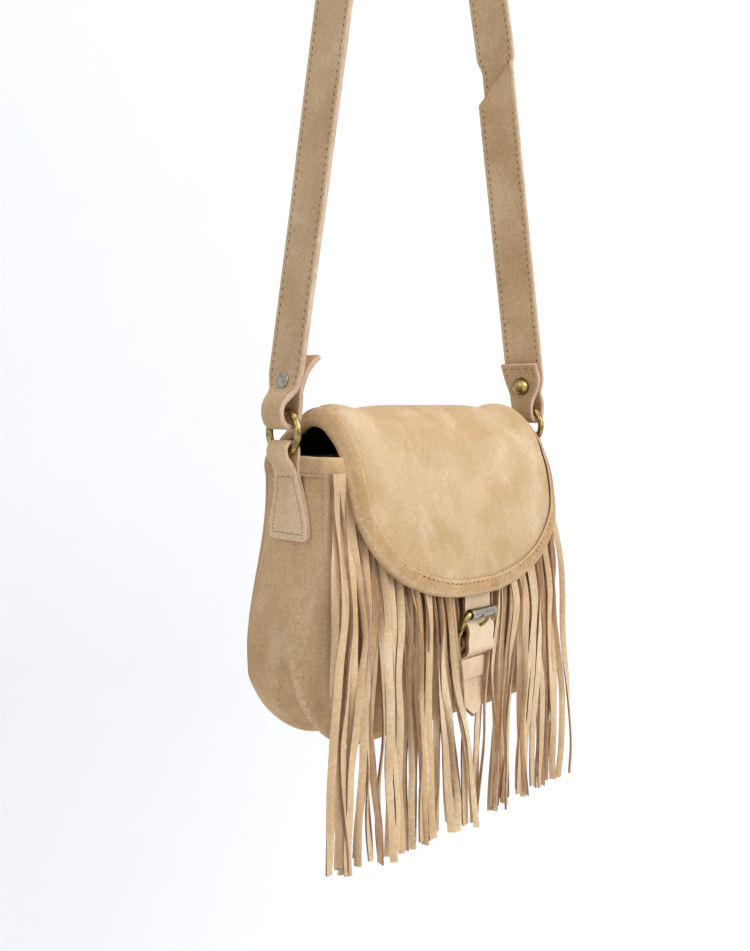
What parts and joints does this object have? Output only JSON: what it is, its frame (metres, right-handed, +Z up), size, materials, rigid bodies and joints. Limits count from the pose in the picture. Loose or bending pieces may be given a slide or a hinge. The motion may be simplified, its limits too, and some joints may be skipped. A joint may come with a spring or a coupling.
{
  "type": "fringed suede shoulder bag",
  "caption": "Small suede saddle bag with a rounded flap, buckled tab, long fringe and a shoulder strap on rings.",
  "frame": {"origin": "the hanging point, on the underside of the strap's top bend", "axes": "+Z up, the fringed front faces -Y, the bag's left side lies at -X"},
  "size_m": [0.255, 0.1069, 0.8984],
  "materials": {
    "suede_body": "sand suede with a short matt nap",
    "suede_flap": "light sand suede, brushed into soft pale marks",
    "suede_fringe": "sand suede cut into strips with raw edges",
    "suede_strap": "darker sand suede, stitched along both edges",
    "lining_cloth": "plain black cloth",
    "antique_brass": "antique brass, polished where it is touched",
    "nickel": "dull grey nickel plate"
  },
  "bodies": {
    "strap": {"strap_long": "suede_strap", "strap_short": "suede_strap", "rivet_base_left": "nickel", "rivet_base_right": "nickel", "rivet_cap_left": "antique_brass", "rivet_cap_right": "antique_brass"},
    "left_ring": {"ring_left": "antique_brass"},
    "right_ring": {"ring_right": "antique_brass"},
    "bag": {"front_panel": "suede_body", "back_panel": "suede_body", "gusset": "suede_body", "mouth_binding": "suede_body", "lining": "lining_cloth", "flap": "suede_flap", "flap_lining": "lining_cloth", "flap_binding": "suede_body", "fringe_left_inner": "suede_fringe", "fringe_left_outer": "suede_fringe", "fringe_right_inner": "suede_fringe", "fringe_right_outer": "suede_fringe", "gusset_tab_left": "suede_body", "gusset_tab_right": "suede_body", "closure_strap": "suede_strap", "buckle_frame": "antique_brass", "buckle_chape": "suede_strap", "keeper_loop": "suede_strap"},
    "roller": {"buckle_roller": "nickel"},
    "prong": {"buckle_prong": "antique_brass"}
  },
  "joints": [
    {"name": "left_ring_swing", "type": "hinge", "parent": "strap", "child": "left_ring", "pos_m": [-0.1206, 0, -0.62425], "axis": [0, 1, 0], "range_deg": [-8, 8]},
    {"name": "bag_sway", "type": "hinge", "parent": "left_ring", "child": "bag", "pos_m": [-0.1206, 0, -0.65075], "axis": [0, 1, 0], "range_deg": [-8, 8]},
    {"name": "right_ring_swing", "type": "hinge", "parent": "strap", "child": "right_ring", "pos_m": [0.1206, 0, -0.62425], "axis": [0, 1, 0], "range_deg": [-8, 8]},
    {"name": "roller_spin", "type": "hinge", "parent": "bag", "child": "roller", "pos_m": [0, -0.0537, -0.75456], "axis": [1, 0, 0], "continuous": true},
    {"name": "prong_lift", "type": "hinge", "parent": "bag", "child": "prong", "pos_m": [0, -0.0444, -0.7745], "axis": [1, 0, 0], "range_deg": [0, 10]}
  ],
  "couplings": [
    {"joint": "bag_sway", "follows": "left_ring_swing", "ratio": -1},
    {"joint": "right_ring_swing", "follows": "left_ring_swing", "ratio": 1}
  ]
}
